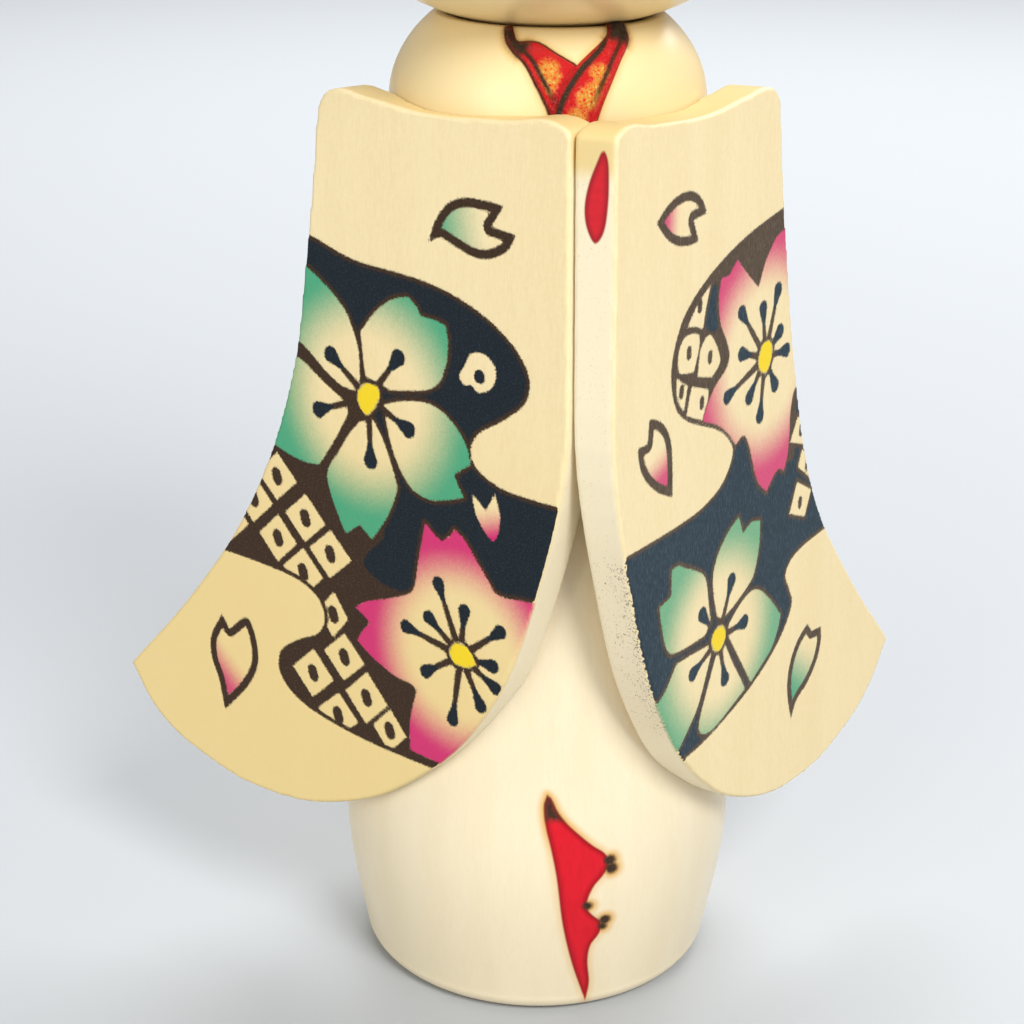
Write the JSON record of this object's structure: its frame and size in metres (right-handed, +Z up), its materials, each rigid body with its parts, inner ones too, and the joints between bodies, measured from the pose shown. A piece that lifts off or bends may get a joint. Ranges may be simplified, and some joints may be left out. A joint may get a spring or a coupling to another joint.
{
  "type": "kokeshi doll",
  "caption": "Turned wooden doll with domed shoulders, a large round head that turns on a hidden peg, and flat flared sleeve boards that meet in a V at the front, decorated with blossoms.",
  "frame": {"origin": "centre of the flat base, on the surface that the doll stands on", "axes": "+Z up along the turned axis, the face and the sleeves' V look along -Y, the doll's own right sleeve is at -X"},
  "size_m": [0.1253, 0.0773, 0.2023],
  "materials": {
    "body_wood": "cream-yellow turned wood, clear satin lacquer, painted collar and slit",
    "head_wood": "cream-yellow turned wood, clear satin lacquer, painted hair and face",
    "sleeve_wood": "pale board, clear matt lacquer, burnt and painted blossoms",
    "peg_wood": "plain dowel"
  },
  "bodies": {
    "root": {"body": "body_wood", "neck_peg": "peg_wood", "sleeve_left": "sleeve_wood", "sleeve_right": "sleeve_wood", "sleeve_pin_left_lower": "peg_wood", "sleeve_pin_left_upper": "peg_wood", "sleeve_pin_right_lower": "peg_wood", "sleeve_pin_right_upper": "peg_wood"},
    "head": {"head": "head_wood"}
  },
  "joints": [
    {"name": "head_turn", "type": "hinge", "parent": "root", "child": "head", "pos_m": [0, 0, 0.146], "axis": [0, 0, 1], "continuous": true}
  ]
}
